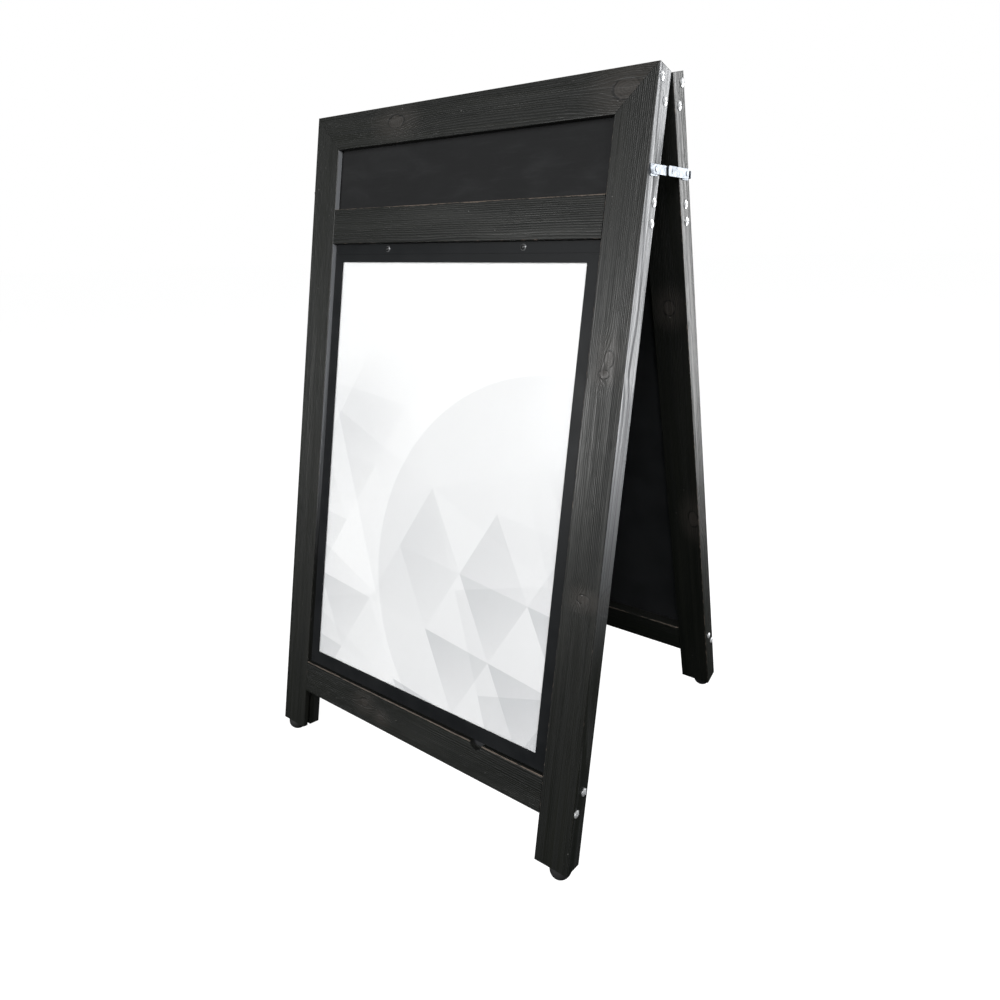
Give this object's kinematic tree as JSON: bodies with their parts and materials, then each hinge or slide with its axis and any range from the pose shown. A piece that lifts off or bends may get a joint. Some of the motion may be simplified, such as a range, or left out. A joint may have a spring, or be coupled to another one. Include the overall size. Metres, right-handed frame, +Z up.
{
  "type": "folding a-board sign",
  "caption": "Two-sided folding timber A-board with chalkboard headers above lift-up clear-covered poster panels, held open by side stays on domed feet.",
  "frame": {"origin": "on the ground, at the middle of the open board's footprint", "axes": "+Z up, +X to the right seen from the front, and the front frame faces -Y"},
  "size_m": [0.7844, 0.6734, 1.2997],
  "materials": {
    "timber": "black stained softwood, satin",
    "chalkboard": "matt black chalkboard surface",
    "backing": "board with a thin black coated steel face",
    "poster": "printed poster paper",
    "cover_black": "satin black sheet",
    "cover_clear": "clear anti-glare plastic sheet",
    "magnet": "flexible magnetic strip",
    "black_screw": "black coated steel",
    "zinc": "bright zinc plated steel",
    "foot_rubber": "moulded black rubber"
  },
  "bodies": {
    "front_frame": {"front_stile_left": "timber", "front_stile_right": "timber", "front_top_rail": "timber", "front_mid_rail": "timber", "front_bottom_rail": "timber", "front_header_chalkboard": "chalkboard", "front_backing_panel": "backing", "front_poster": "poster", "front_cover_strip": "cover_black", "front_cover_strip_magnet": "magnet", "front_cover_screws": "black_screw", "front_cup_washers": "black_screw", "front_joint_screws": "zinc", "front_feet": "foot_rubber", "front_foot_studs": "zinc", "front_hinge_screws": "zinc", "hinge_left_front_leaf": "zinc", "hinge_right_front_leaf": "zinc", "stay_left_front_bracket": "zinc", "stay_right_front_bracket": "zinc", "stay_front_rivets": "zinc", "stay_front_screws": "zinc", "hinge_pins": "zinc"},
    "rear_frame": {"rear_stile_left": "timber", "rear_stile_right": "timber", "rear_top_rail": "timber", "rear_mid_rail": "timber", "rear_bottom_rail": "timber", "rear_header_chalkboard": "chalkboard", "rear_backing_panel": "backing", "rear_poster": "poster", "rear_cover_strip": "cover_black", "rear_cover_strip_magnet": "magnet", "rear_cover_screws": "black_screw", "rear_cup_washers": "black_screw", "rear_joint_screws": "zinc", "rear_feet": "foot_rubber", "rear_foot_studs": "zinc", "rear_hinge_screws": "zinc", "hinge_left_rear_leaf": "zinc", "hinge_right_rear_leaf": "zinc", "stay_left_rear_bracket": "zinc", "stay_right_rear_bracket": "zinc", "stay_rear_rivets": "zinc", "stay_rear_screws": "zinc"},
    "front_cover": {"front_cover_border": "cover_black", "front_cover_window": "cover_clear", "front_cover_magnets": "magnet"},
    "rear_cover": {"rear_cover_border": "cover_black", "rear_cover_window": "cover_clear", "rear_cover_magnets": "magnet"},
    "stay_left_front": {"stay_left_front_arm": "zinc", "stay_left_rivet_tail": "zinc"},
    "stay_left_rear": {"stay_left_rear_arm": "zinc", "stay_left_rivet_head": "zinc"},
    "stay_right_front": {"stay_right_front_arm": "zinc", "stay_right_rivet_tail": "zinc"},
    "stay_right_rear": {"stay_right_rear_arm": "zinc", "stay_right_rivet_head": "zinc"}
  },
  "joints": [
    {"name": "frame_fold", "type": "hinge", "parent": "front_frame", "child": "rear_frame", "pos_m": [0, 0, 1.29459], "axis": [-1, 0, 0], "range_deg": [0, 26]},
    {"name": "front_cover_lift", "type": "hinge", "parent": "front_frame", "child": "front_cover", "pos_m": [0, -0.09509, 1.03344], "axis": [-1, 0, 0], "range_deg": [0, 80]},
    {"name": "rear_cover_lift", "type": "hinge", "parent": "rear_frame", "child": "rear_cover", "pos_m": [0, 0.09509, 1.03344], "axis": [1, 0, 0], "range_deg": [0, 80]},
    {"name": "stay_left_front_turn", "type": "hinge", "parent": "front_frame", "child": "stay_left_front", "pos_m": [0, -0.0548, 1.15227], "axis": [1, 0, 0], "range_deg": [0, 55]},
    {"name": "stay_left_rear_turn", "type": "hinge", "parent": "rear_frame", "child": "stay_left_rear", "pos_m": [0, 0.0548, 1.15227], "axis": [-1, 0, 0], "range_deg": [0, 55]},
    {"name": "stay_right_front_turn", "type": "hinge", "parent": "front_frame", "child": "stay_right_front", "pos_m": [0, -0.0548, 1.15227], "axis": [1, 0, 0], "range_deg": [0, 55]},
    {"name": "stay_right_rear_turn", "type": "hinge", "parent": "rear_frame", "child": "stay_right_rear", "pos_m": [0, 0.0548, 1.15227], "axis": [-1, 0, 0], "range_deg": [0, 55]}
  ],
  "couplings": [
    {"joint": "stay_left_front_turn", "follows": "frame_fold", "ratio": 2.0774},
    {"joint": "stay_left_rear_turn", "follows": "frame_fold", "ratio": 2.0774},
    {"joint": "stay_right_front_turn", "follows": "frame_fold", "ratio": 2.0774},
    {"joint": "stay_right_rear_turn", "follows": "frame_fold", "ratio": 2.0774}
  ]
}
